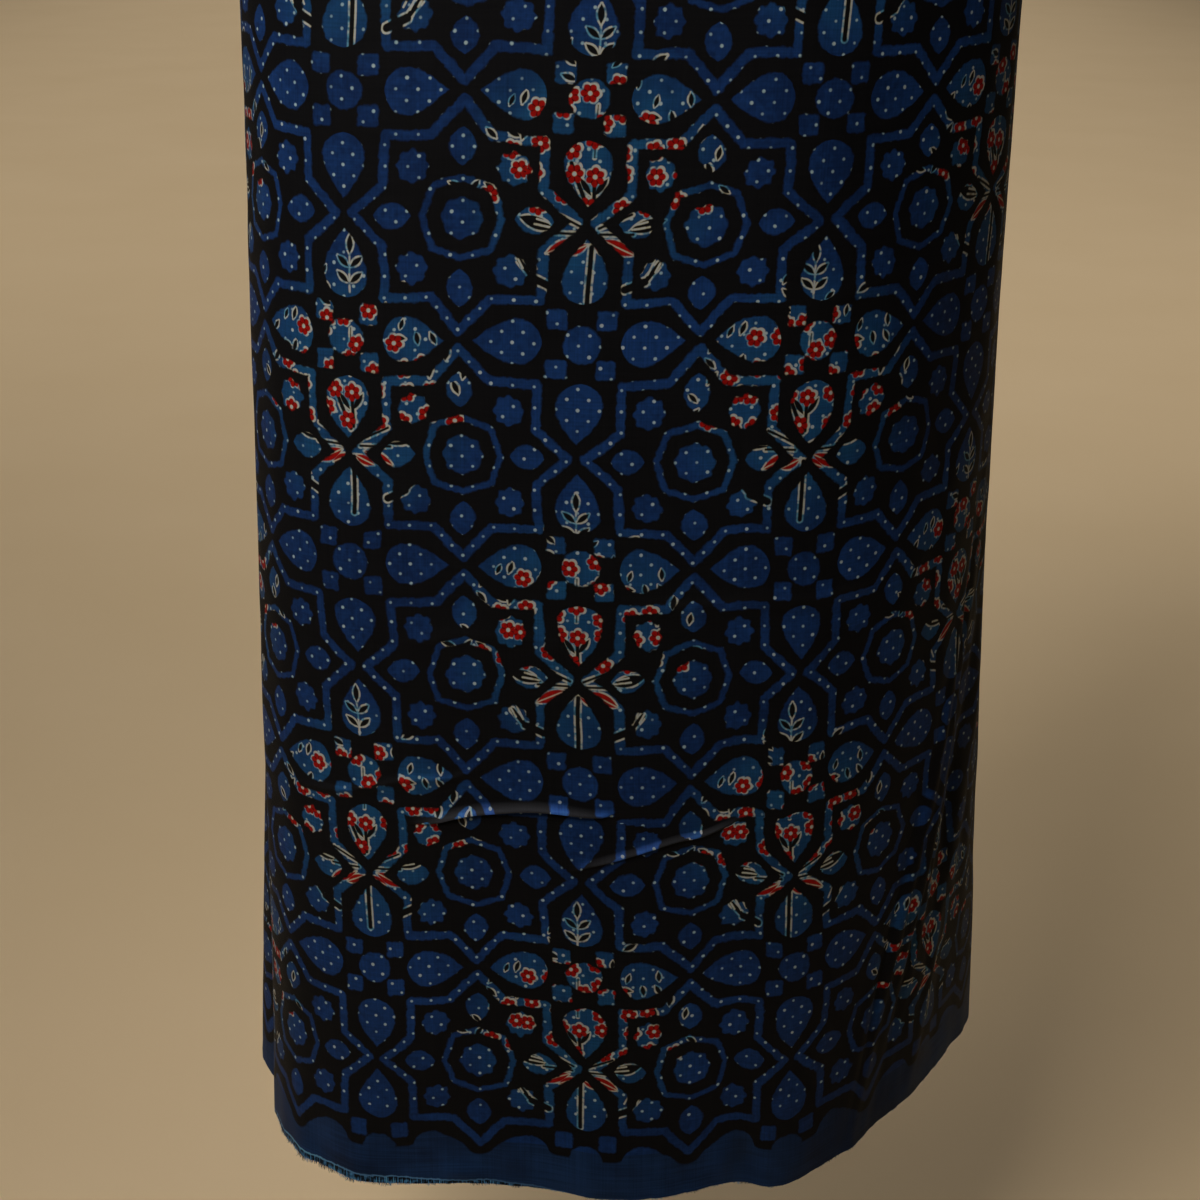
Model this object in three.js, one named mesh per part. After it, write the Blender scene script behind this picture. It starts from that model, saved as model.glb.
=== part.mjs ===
// A length of block-printed cloth, wrapped once round a standing form and hung as a tube.
// Millimetres, +Z up. z = 0 is the top selvedge, the front faces -Y, +X is the viewer's right.
import * as THREE from 'three';

const LOOM_WIDTH = 1120;      // selvedge to selvedge, hung upright
const SHEET = 1.5;            // thickness of the solid sheet
const LENGTH_LEFT = 640;      // cloth from the front column round the left side to the inner cut end
const LENGTH_RIGHT = 740;     // cloth from the front column round the right side to the outer cut end
const FRONT_AZIMUTH = -8.2;   // where the front column stands, degrees from -Y towards +X
const HIP_DROP = 460;         // below the top selvedge: the tube starts to flare here
const FLARE_POWER = 1.15;     // how late the flare comes
const LAP_GAP = 6;            // the outer cut end stands this far off the inner layer
const LAP_RAMP = 70;          // length over which it lifts
const LAP_LEAD = 15;          // and how far ahead of the inner end the lift is complete
const COLUMNS = 112;
const ROWS = 16;
const AZIMUTH_STEP = 0.25;    // degrees, for measuring along a section
const INDIGO = 0x16305f;

// Stations round the tube: azimuth in degrees, distance from the tube's axis at three heights.
const STATIONS = [
  { place: 'centre back',        az: -180, top: 128, hip: 128, hem: 150 },
  { place: 'left back',          az: -150, top: 144, hip: 144, hem: 175 },
  { place: 'left back lobe',     az: -125, top: 168, hip: 168, hem: 206 },
  { place: 'lobe crown',         az: -108, top: 185, hip: 186, hem: 224 },
  { place: 'lobe edge',          az:  -99, top: 191, hip: 194, hem: 227 },
  { place: 'valley fold',        az:  -92, top: 193, hip: 196, hem: 206 },
  { place: 'left side',          az:  -84, top: 195, hip: 198, hem: 208 },
  { place: 'left front turn',    az:  -75, top: 194, hip: 197, hem: 207 },
  { place: 'left front',         az:  -66, top: 190, hip: 194, hem: 202 },
  { place: 'left front slope',   az:  -57, top: 181, hip: 185, hem: 187 },
  { place: 'left panel',         az:  -46, top: 164, hip: 166, hem: 164 },
  { place: 'left of front',      az:  -32, top: 143, hip: 144, hem: 143 },
  { place: 'front column',       az:   -8, top: 125, hip: 125, hem: 125 },
  { place: 'right of front',     az:   19, top: 127, hip: 127, hem: 124 },
  { place: 'right panel',        az:   42, top: 146, hip: 147, hem: 141 },
  { place: 'right front slope',  az:   62, top: 167, hip: 169, hem: 162 },
  { place: 'right front turn',   az:   76, top: 187, hip: 189, hem: 180 },
  { place: 'right side',         az:   90, top: 200, hip: 203, hem: 205 },
  { place: 'right back lobe',    az:  103, top: 197, hip: 205, hem: 237 },
  { place: 'lobe crown, right',  az:  114, top: 189, hip: 198, hem: 250 },
  { place: 'right back',         az:  128, top: 172, hip: 180, hem: 226 },
  { place: 'right back slope',   az:  150, top: 146, hip: 151, hem: 180 },
];

// The hem dips and rises: distance along the cloth from the front column, height above level.
const HEM_WAVES = [
  { along: -640, rise:  0 },
  { along: -430, rise: -2 },
  { along: -345, rise: -9 },
  { along: -308, rise: -15 },
  { along: -282, rise: -20 },
  { along: -264, rise: -16 },
  { along: -246, rise: -6 },
  { along: -225, rise: -4 },
  { along: -195, rise: -5 },
  { along: -105, rise: -5 },
  { along:  -63, rise:  3 },
  { along:  -34, rise:  3 },
  { along:   34, rise: -7 },
  { along:   63, rise: -5 },
  { along:   87, rise:  0 },
  { along:  112, rise: -8 },
  { along:  153, rise: -3 },
  { along:  196, rise:  5 },
  { along:  254, rise: 11 },
  { along:  313, rise: 14 },
  { along:  460, rise:  4 },
  { along:  740, rise:  0 },
];

const ease = (t) => { const c = Math.min(1, Math.max(0, t)); return c * c * (3 - 2 * c); };

// Smooth curve through the points (x, y), with slopes weighted by the neighbouring spans.
function smoothCurve(xs, ys) {
  const last = xs.length - 1;
  const span = xs.slice(1).map((x, i) => x - xs[i]);
  const rise = ys.slice(1).map((y, i) => (y - ys[i]) / span[i]);
  const slope = xs.map((_, i) => {
    if (i === 0) return rise[0];
    if (i === last) return rise[last - 1];
    return (rise[i - 1] * span[i] + rise[i] * span[i - 1]) / (span[i - 1] + span[i]);
  });
  return (x) => {
    let i = 0;
    while (i < last - 1 && x >= xs[i + 1]) i += 1;
    const t = (x - xs[i]) / span[i];
    const u = 1 - t;
    return u * u * (1 + 2 * t) * ys[i] + t * u * u * span[i] * slope[i]
      + t * t * (3 - 2 * t) * ys[i + 1] - t * t * u * span[i] * slope[i + 1];
  };
}

// The same, closed on itself every 360 degrees.
function closedCurve(column) {
  const turns = [-360, 0, 360];
  const xs = turns.flatMap((turn) => STATIONS.map((s) => s.az + turn));
  const ys = turns.flatMap(() => STATIONS.map((s) => s[column]));
  const curve = smoothCurve(xs, ys);
  return (az) => curve(((((az + 180) % 360) + 360) % 360) - 180);
}

const radiusTop = closedCurve('top');
const radiusHip = closedCurve('hip');
const radiusHem = closedCurve('hem');
const hemRise = smoothCurve(HEM_WAVES.map((w) => w.along), HEM_WAVES.map((w) => w.rise));

function radius(az, drop) {
  if (drop <= HIP_DROP) return THREE.MathUtils.lerp(radiusTop(az), radiusHip(az), ease(drop / HIP_DROP));
  const t = (drop - HIP_DROP) / (LOOM_WIDTH - HIP_DROP);
  return THREE.MathUtils.lerp(radiusHip(az), radiusHem(az), t ** FLARE_POWER);
}

// One level section, measured along the cloth from the front column.
function levelSection(drop) {
  const samples = [];
  let along = 0;
  for (let az = FRONT_AZIMUTH - 400; az <= FRONT_AZIMUTH + 400; az += AZIMUTH_STEP) {
    const r = radius(az, drop);
    const a = THREE.MathUtils.degToRad(az);
    const p = { x: r * Math.sin(a), y: -r * Math.cos(a), along: 0 };
    const before = samples[samples.length - 1];
    if (before) along += Math.hypot(p.x - before.x, p.y - before.y);
    p.along = along;
    samples.push(p);
  }
  const turn = Math.round(360 / AZIMUTH_STEP);
  const front = Math.round(400 / AZIMUTH_STEP);
  const zero = samples[front].along;
  const girth = samples[front + turn].along - zero;
  const lapStart = girth - LENGTH_LEFT - LAP_LEAD;

  return (s) => {
    const target = s + zero;
    let lo = 0;
    let hi = samples.length - 1;
    while (hi - lo > 1) {
      const mid = (lo + hi) >> 1;
      if (samples[mid].along > target) hi = mid; else lo = mid;
    }
    const p = samples[lo];
    const q = samples[hi];
    const f = (target - p.along) / (q.along - p.along);
    const tangent = new THREE.Vector2(q.x - p.x, q.y - p.y).normalize();
    const out = new THREE.Vector2(tangent.y, -tangent.x);
    const lift = LAP_GAP * ease((s - lapStart + LAP_RAMP) / LAP_RAMP);
    return {
      x: THREE.MathUtils.lerp(p.x, q.x, f) + out.x * lift,
      y: THREE.MathUtils.lerp(p.y, q.y, f) + out.y * lift,
    };
  };
}

// Middle of the sheet, as a grid of points: rows from the top selvedge down, columns from the inner end.
function middleGrid() {
  const grid = [];
  for (let i = 0; i <= ROWS; i += 1) {
    const drop = LOOM_WIDTH * i / ROWS;
    const at = levelSection(drop);
    const row = [];
    for (let j = 0; j <= COLUMNS; j += 1) {
      const s = -LENGTH_LEFT + (LENGTH_LEFT + LENGTH_RIGHT) * j / COLUMNS;
      const p = at(s);
      row.push(new THREE.Vector3(p.x, p.y, -drop + hemRise(s) * (drop / LOOM_WIDTH) ** 3));
    }
    grid.push(row);
  }
  return grid;
}

// Outward direction at a grid point; the edge rows keep it level so that the edges stay square.
function outward(grid, i, j) {
  const row = grid[i];
  const along = row[Math.min(j + 1, COLUMNS)].clone().sub(row[Math.max(j - 1, 0)]);
  const down = grid[Math.min(i + 1, ROWS)][j].clone().sub(grid[Math.max(i - 1, 0)][j]);
  if (i === 0 || i === ROWS) { down.set(0, 0, -1); along.z = 0; }
  return down.cross(along).normalize();
}

function clothGeometry() {
  const grid = middleGrid();
  const width = COLUMNS + 1;
  const positions = [];
  for (const side of [1, -1]) {
    for (let i = 0; i <= ROWS; i += 1) {
      for (let j = 0; j <= COLUMNS; j += 1) {
        const p = grid[i][j].clone().addScaledVector(outward(grid, i, j), side * SHEET / 2);
        positions.push(p.x, p.y, p.z);
      }
    }
  }
  const outer = (i, j) => i * width + j;
  const inner = (i, j) => (ROWS + 1) * width + i * width + j;
  const index = [];
  const quad = (a, b, c, d) => index.push(a, b, c, a, c, d);
  for (let i = 0; i < ROWS; i += 1) {
    for (let j = 0; j < COLUMNS; j += 1) {
      quad(outer(i, j), outer(i + 1, j), outer(i + 1, j + 1), outer(i, j + 1));
      quad(inner(i, j), inner(i, j + 1), inner(i + 1, j + 1), inner(i + 1, j));
    }
    quad(outer(i, 0), inner(i, 0), inner(i + 1, 0), outer(i + 1, 0));
    quad(outer(i, COLUMNS), outer(i + 1, COLUMNS), inner(i + 1, COLUMNS), inner(i, COLUMNS));
  }
  for (let j = 0; j < COLUMNS; j += 1) {
    quad(outer(0, j), outer(0, j + 1), inner(0, j + 1), inner(0, j));
    quad(outer(ROWS, j), inner(ROWS, j), inner(ROWS, j + 1), outer(ROWS, j + 1));
  }
  const geometry = new THREE.BufferGeometry();
  geometry.setAttribute('position', new THREE.Float32BufferAttribute(positions, 3));
  geometry.setIndex(index);
  geometry.computeVertexNormals();
  return geometry;
}

const cloth = new THREE.Mesh(
  clothGeometry(),
  new THREE.MeshStandardMaterial({ color: INDIGO, roughness: 0.7, metalness: 0, side: THREE.DoubleSide }),
);
cloth.name = 'cloth';

const part = new THREE.Group();
part.name = 'ajrakh_cloth';
part.add(cloth);

export default part;
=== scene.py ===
"""A length of block-printed cloth, wrapped once round and hung as a tube: the finished look of the part.
Metres, +Z up, the same frame as the solid: z = 0 is the top selvedge, the front faces -Y."""

import math

import bpy
import numpy as np
from mathutils import Matrix, Vector


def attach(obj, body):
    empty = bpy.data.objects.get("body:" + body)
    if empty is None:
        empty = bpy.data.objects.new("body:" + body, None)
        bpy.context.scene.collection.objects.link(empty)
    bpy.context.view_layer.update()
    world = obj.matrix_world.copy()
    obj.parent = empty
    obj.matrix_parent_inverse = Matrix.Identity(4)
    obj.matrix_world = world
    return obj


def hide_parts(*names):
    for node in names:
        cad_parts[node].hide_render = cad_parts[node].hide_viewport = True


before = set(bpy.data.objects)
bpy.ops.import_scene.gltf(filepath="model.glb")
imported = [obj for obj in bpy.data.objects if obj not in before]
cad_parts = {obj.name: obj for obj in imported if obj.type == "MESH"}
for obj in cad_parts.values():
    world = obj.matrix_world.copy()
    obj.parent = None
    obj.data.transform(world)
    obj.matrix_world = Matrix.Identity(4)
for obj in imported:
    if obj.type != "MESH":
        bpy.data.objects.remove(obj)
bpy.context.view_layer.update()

MM = 0.001

# ---------------------------------------------------------------- the drape, as in the solid (millimetres)
LOOM_WIDTH = 1120.0
LENGTH_LEFT, LENGTH_RIGHT = 640.0, 740.0
FRONT_AZIMUTH = -8.2
HIP_DROP, FLARE_POWER = 460.0, 1.15
LAP_GAP, LAP_RAMP, LAP_LEAD = 6.0, 70.0, 15.0
THICKNESS = 0.7

STATIONS = [  # azimuth, distance from the axis at the top, the hips and the hem
    (-180, 128, 128, 150), (-150, 144, 144, 175), (-125, 168, 168, 206), (-108, 185, 186, 224),
    (-99, 191, 194, 227), (-92, 193, 196, 206), (-84, 195, 198, 208), (-75, 194, 197, 207),
    (-66, 190, 194, 202), (-57, 181, 185, 187), (-46, 164, 166, 164), (-32, 143, 144, 143),
    (-8, 125, 125, 125), (19, 127, 127, 124), (42, 146, 147, 141), (62, 167, 169, 162),
    (76, 187, 189, 180), (90, 200, 203, 205), (103, 197, 205, 237), (114, 189, 198, 250),
    (128, 172, 180, 226), (150, 146, 151, 180),
]
HEM_WAVES = [  # along the cloth from the front column, height of the hem above level
    (-640, 0), (-430, -2), (-345, -9), (-308, -15), (-282, -20), (-264, -16), (-246, -6), (-225, -4), (-195, -5),
    (-105, -5), (-63, 3), (-34, 3), (34, -7), (63, -5), (87, 0), (112, -8), (153, -3), (196, 5), (254, 11), (313, 14), (460, 4), (740, 0),
]
SWAY = [  # height above the hem, sideways shift of the cloth on the tube
    (0, 3), (110, 2), (230, -1), (350, -4), (470, -4.5), (590, -1), (680, 2), (1120, 2),
]

# Creases: points (along, height above hem), crest height, ledge above the lip, softness of the lip, how the ledge fades
# upward, strength of the painted highlight on the ledge.
WAIST = ("waist pleat", [(-92, 231), (-80, 231.8), (-64, 236.3), (-45, 239.3), (-29, 241), (-13, 241.4), (3, 240.2), (10, 240.4), (17, 243)], 4.0, 5.2, 0.40, 1.3, 0.85)
OBLIQUE = ("oblique pleat", [(-6, 207), (9, 212.6), (16, 215.3), (30, 220), (41, 223.5), (52, 226.3), (62, 227.4), (72, 230), (86, 234)], 2.0, 3.6, 0.40, 1.1, 0.58)
CREASES = [
    WAIST,
    OBLIQUE,
    ("pleat, far end", [(-166, 243), (-138, 246), (-118, 250), (-98, 256), (-70, 258), (-52, 264)], 1.5, 6.0, 2.2, 1.6, 0.12),
    ("faint, right", [(20, 359), (58, 358), (90, 359), (135, 360), (165, 362)], 1.2, 9.0, 2.6, 1.6, 0.07),
    ("faint, left", [(-100, 335), (-83, 336), (-60, 339), (-34, 338), (-10, 336)], 0.9, 8.0, 2.8, 1.6, 0.04),
    ("faint, high", [(110, 515), (140, 521), (170, 524), (205, 523)], 0.8, 9.0, 3.5, 1.6, 0.03),
    ("faint, low", [(-150, 120), (-120, 117), (-90, 118), (-66, 122)], 0.6, 9.0, 3.5, 1.6, 0.02),
]
FRAY = [  # along the cloth, usual length of the loose threads of the raw hem there
    (-640, 1.0), (-260, 1.0), (-215, 1.8), (-192, 3.4), (-130, 3.2), (-75, 2.4), (-45, 1.3), (60, 1.1), (190, 1.0), (740, 1.0),
]
OPEN_WEAVE = [  # along the cloth, depth of the hem where the cross threads are gone
    (-640, 1.0), (-224, 1.0), (-206, 4.4), (-190, 5.6), (-160, 4.8), (-128, 3.8), (-92, 3.4), (-72, 1.7), (-50, 1.1), (740, 1.0),
]
# Cloth taken up by the pleats: points (along, height above hem) of the lip, how much is hidden, how far up the print is drawn down.
TUCKS = [
    ([(-92, 231), (-64, 236.3), (-29, 241), (3, 240.2), (17, 238), (40, 231), (62, 227.4), (86, 234), (114, 235)], 3.1, 42),
]
# Gathers on the right turn: along, height above hem, lean, half-width, half-height, depth (out is positive).
GATHERS = [
    (172, 70, 0.22, 5.0, 46, 1.4), (181, 84, 0.24, 4.6, 56, -1.5), (190, 105, 0.24, 5.0, 76, 1.9), (199, 150, 0.25, 4.8, 96, -2.0),
    (208, 170, 0.26, 4.8, 110, 2.4), (218, 126, 0.25, 4.5, 92, -2.3), (227, 190, 0.26, 4.8, 120, 2.4), (237, 152, 0.27, 5.0, 100, -2.3),
    (247, 112, 0.25, 5.2, 84, 2.0), (258, 205, 0.24, 5.6, 120, -1.9), (269, 170, 0.22, 6.0, 110, 1.6),
    (240, 300, 0.20, 5.5, 66, 1.3), (251, 326, 0.18, 5.5, 74, -1.3), (262, 360, 0.16, 6.0, 80, 1.2),
]
# Soft upright dents and ridges: along, height above hem, half-width, half-height, depth (out is positive).
DENTS = [
    (76, 70, 3.5, 16, 1.1), (-40, 22, 9, 16, 1.3), (97, 14, 7, 14, -2.2), (82, 16, 6, 13, 1.6),
    (60, 14, 9, 16, -1.2), (-68, 8, 9, 5, 1.7), (10, 14, 16, 18, 1.8), (130, 18, 12, 22, 1.8),
    (-130, 16, 13, 20, 1.7), (-158, 18, 10, 22, -1.4), (190, 40, 12, 70, -1.8), (222, 120, 10, 160, 1.7),
    (252, 210, 9, 180, -1.9), (286, 260, 10, 160, 2.0), (205, 420, 14, 150, -1.3), (250, 520, 12, 160, 1.3),
    (300, 470, 10, 120, -1.6), (-205, 300, 12, 220, 1.2), (-232, 260, 9, 260, -1.6),
]


def smooth_curve(xs, ys):
    xs, ys = np.asarray(xs, float), np.asarray(ys, float)
    span = np.diff(xs)
    rise = np.diff(ys) / span
    slope = np.empty_like(ys)
    slope[0], slope[-1] = rise[0], rise[-1]
    slope[1:-1] = (rise[:-1] * span[1:] + rise[1:] * span[:-1]) / (span[:-1] + span[1:])

    def at(x):
        x = np.asarray(x, float)
        i = np.clip(np.searchsorted(xs, x, side="right") - 1, 0, len(xs) - 2)
        t = (x - xs[i]) / span[i]
        u = 1 - t
        return (u * u * (1 + 2 * t) * ys[i] + t * u * u * span[i] * slope[i]
                + t * t * (3 - 2 * t) * ys[i + 1] - t * t * u * span[i] * slope[i + 1])

    return at


def closed_curve(column):
    turns = (-360, 0, 360)
    curve = smooth_curve([s[0] + t for t in turns for s in STATIONS], [s[column] for _ in turns for s in STATIONS])
    return lambda az: curve((np.asarray(az) + 180) % 360 - 180)


def ease(t):
    t = np.clip(t, 0, 1)
    return t * t * (3 - 2 * t)


radius_top, radius_hip, radius_hem = (closed_curve(k) for k in (1, 2, 3))
hem_rise = smooth_curve(*zip(*HEM_WAVES))
sway = smooth_curve(*zip(*SWAY))


def radius(az, drop):
    if drop <= HIP_DROP:
        return radius_top(az) + (radius_hip(az) - radius_top(az)) * ease(drop / HIP_DROP)
    t = (drop - HIP_DROP) / (LOOM_WIDTH - HIP_DROP)
    return radius_hip(az) + (radius_hem(az) - radius_hip(az)) * t ** FLARE_POWER


def level_section(drop, along):
    """x and y of the cloth's middle at these distances along it from the front column."""
    az = FRONT_AZIMUTH + np.arange(-400, 400.001, 0.25)
    r = radius(az, drop)
    x, y = r * np.sin(np.radians(az)), -r * np.cos(np.radians(az))
    length = np.concatenate([[0], np.cumsum(np.hypot(np.diff(x), np.diff(y)))])
    front = 1600
    length -= length[front]
    girth = length[front + 1440]
    px, py = np.interp(along, length, x), np.interp(along, length, y)
    step = 0.5
    tx = np.interp(along + step, length, x) - np.interp(along - step, length, x)
    ty = np.interp(along + step, length, y) - np.interp(along - step, length, y)
    n = np.hypot(tx, ty)
    lift = LAP_GAP * ease((along - (girth - LENGTH_LEFT - LAP_LEAD) + LAP_RAMP) / LAP_RAMP)
    return px + ty / n * lift, py - tx / n * lift


def value_noise(x, y, seed):
    """Smooth repeatable noise, about -1 to 1, on a unit grid."""
    def corner(i, j):
        h = np.sin(i * 127.1 + j * 311.7 + seed * 74.7) * 43758.5453
        return 2 * (h - np.floor(h)) - 1
    i, j = np.floor(x), np.floor(y)
    u, v = x - i, y - j
    u, v = u * u * u * (u * (6 * u - 15) + 10), v * v * v * (v * (6 * v - 15) + 10)
    a = corner(i, j) * (1 - u) + corner(i + 1, j) * u
    b = corner(i, j + 1) * (1 - u) + corner(i + 1, j + 1) * u
    return a * (1 - v) + b * v


def lip_of(points, s):
    """Height of a crease's lip above the hem, level past its ends."""
    xs, ys = zip(*points)
    return smooth_curve(xs, ys)(np.clip(s, xs[0], xs[-1]))


def crease_relief(s, v):
    """How far the cloth stands out of its plain drape, in millimetres."""
    out = np.zeros_like(s)
    for _, points, crest, ledge, soft, fade, _ in CREASES:
        start, end = points[0][0], points[-1][0]
        lip = lip_of(points, s)
        along = np.clip((s - start) / (end - start), 0, 1)
        height = crest * np.clip(1.5 * np.sin(np.pi * along), 0, 1) ** 0.8
        t = v - lip
        above = np.clip(1 - t / (ledge * (0.78 + 0.42 * (1 - along))), 0, 1) ** fade
        under = np.exp(-np.clip(-t, 0, None) / soft)
        hollow = -0.24 * np.exp(-((t + 3.2 * soft) / (2.6 * soft)) ** 2)
        out += height * (np.where(t >= 0, above, under) + hollow)
    for at, high, lean, wide, tall, depth in GATHERS:
        out += depth * np.exp(-((s - at - lean * (v - high)) / wide) ** 2 - ((v - high) / tall) ** 2)
    for at, high, wide, tall, depth in DENTS:
        out += depth * np.exp(-((s - at) / wide) ** 2 - ((v - high) / tall) ** 2)
    out += 0.55 * value_noise(s / 46 + 3, v / 70 + 5, 1) + 0.22 * value_noise(s / 17, v / 24, 2)
    edge = np.exp(-v / 16)
    out += edge * (0.9 * value_noise(s / 13, v * 0 + 2, 3) + 0.4 * value_noise(s / 5, v * 0 + 7, 4))
    return out


def ledge_highlight(s, v):
    """Painted highlight on the upward ledges of the standing folds, where light from above would catch them, 0 to 1."""
    out = np.zeros_like(s)
    for _, points, _, ledge, _, fade, strength in CREASES:
        start, end = points[0][0], points[-1][0]
        t = v - lip_of(points, s)
        along = np.clip((s - start) / (end - start), 0, 1)
        wide = ledge * (0.78 + 0.42 * (1 - along))
        band = np.clip(1.35 * (1 - t / wide), 0, 1) ** (4.5 * fade - 4.2)
        out += strength * np.clip(2.2 * np.sin(np.pi * along), 0, 1) * np.where((t > -0.05) & (t < wide), band, 0)
    return np.clip(out, 0, 1)


def tucked(s, v):
    """Height above the hem measured on the cloth, so with what the pleats hide."""
    out = v.copy()
    for points, hidden, draw in TUCKS:
        start, end = points[0][0], points[-1][0]
        t = v - lip_of(points, s)
        along = np.clip((s - start + 14) / (end - start + 40), 0, 1)
        out += hidden * np.clip(2.6 * np.sin(np.pi * along), 0, 1) * np.where(t > -0.2, np.exp(-np.clip(t, 0, None) / draw), 0)
    return out


def spaced(*stretches):
    """Positions from stretches (start, end, step), joined end to end."""
    marks = [np.linspace(a, b, max(2, int(round((b - a) / step)) + 1))[:-1] for a, b, step in stretches]
    return np.concatenate(marks + [[stretches[-1][1]]])


ALONG = spaced((-640, -270, 8.0), (-270, -160, 4.0), (-160, 150, 3.9), (150, 166, 4.0), (166, 300, 3.0), (300, 345, 4.5), (345, 740, 8.0))
LOW_ROWS = spaced((0, 8, 1.6), (8, 30, 3.4), (30, 196, 7.6))
TOP_ROWS = spaced((264, 330, 7.0), (330, 368, 3.4), (368, 505, 8.4), (505, 535, 4.6), (535, 690, 10.0), (690, 1120, 19.0))
ROWS_BELOW, ROWS_BETWEEN, ROWS_ABOVE = 9, 26, 28
ROW_OBLIQUE = len(LOW_ROWS) - 1 + ROWS_BELOW
ROW_WAIST = ROW_OBLIQUE + ROWS_BETWEEN
open_weave = smooth_curve(*zip(*OPEN_WEAVE))


def row_heights():
    """Height above the hem at each row and column; rows follow the raw edge and the lips of the two pleats."""
    def part(count): return np.linspace(0, 1, count + 1)[:-1, None]
    def level(marks): return np.repeat(marks[:, None], len(ALONG), 1)
    low, high = LOW_ROWS[-1], TOP_ROWS[0]
    a, b = lip_of(OBLIQUE[1], ALONG), lip_of(WAIST[1], ALONG)
    k, m, q = part(ROWS_BELOW), part(ROWS_BETWEEN), part(ROWS_ABOVE)
    v = np.concatenate([
        level(LOW_ROWS[:-1]),
        low + (a - low) * (1 - (1 - k) ** 1.35),
        a + (b - a) * (m - 0.11 * np.sin(2 * np.pi * m)),
        b + (high - b) * q ** 1.35,
        level(TOP_ROWS),
    ])
    return v + 0.35 * np.clip(open_weave(ALONG) - 1, 0, None) * np.clip(1 - v / 8, 0, 1)


def middle_grid(v):
    levels = np.linspace(0, LOOM_WIDTH, 161)
    plan = np.array([level_section(LOOM_WIDTH - h, ALONG) for h in levels])
    x, y = (np.stack([np.interp(v[:, j], levels, plan[:, k, j]) for j in range(len(ALONG))], 1) for k in (0, 1))
    return np.stack([x, y, v - LOOM_WIDTH + hem_rise(ALONG) * ((LOOM_WIDTH - v) / LOOM_WIDTH) ** 3], -1)


def normals_of(grid):
    across = np.gradient(grid, axis=1)
    up = np.gradient(grid, axis=0)
    n = np.cross(across, up)
    return n / np.linalg.norm(n, axis=-1, keepdims=True)


# ---------------------------------------------------------------- mesh of the cloth
REPEAT = 118.0          # side of one printed square
HEM_ROW = 0.705         # first row of rings above the hem, in repeats
ROW_COUNT = 9

V = row_heights()
S = np.repeat(ALONG[None, :], len(V), 0)
grid = middle_grid(V)
grid = grid + normals_of(grid) * crease_relief(S, V)[..., None]
normal = normals_of(grid)
outer = (grid + normal * (THICKNESS / 2)) * MM
inner = (grid - normal * (THICKNESS / 2)) * MM
NV, NS = V.shape
PRINTED = tucked(S, V)


def near_bush(x, y):
    """Where the flowering bushes of the under-print can reach, for points in repeats."""
    y = y - HEM_ROW
    al, be = (x + y) / 2, (x - y) / 2
    i, j = np.round(al), np.round(be)
    bx, by = np.abs(al - i + be - j), al - i - be + j
    up = np.abs(by - 0.10) / 0.62
    crown = 0.5 * (bx / 0.47 + up) + 0.5 * np.hypot(bx / 0.47, up)
    reach = (crown < 1.62) | ((bx < 0.45) & (np.abs(by + 0.08) < 0.34))
    return reach & (np.abs(i - j - (ROW_COUNT - 1) / 2) < ROW_COUNT / 2 + 0.1) & (y > -0.40) & (y < ROW_COUNT - 0.60)


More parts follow.
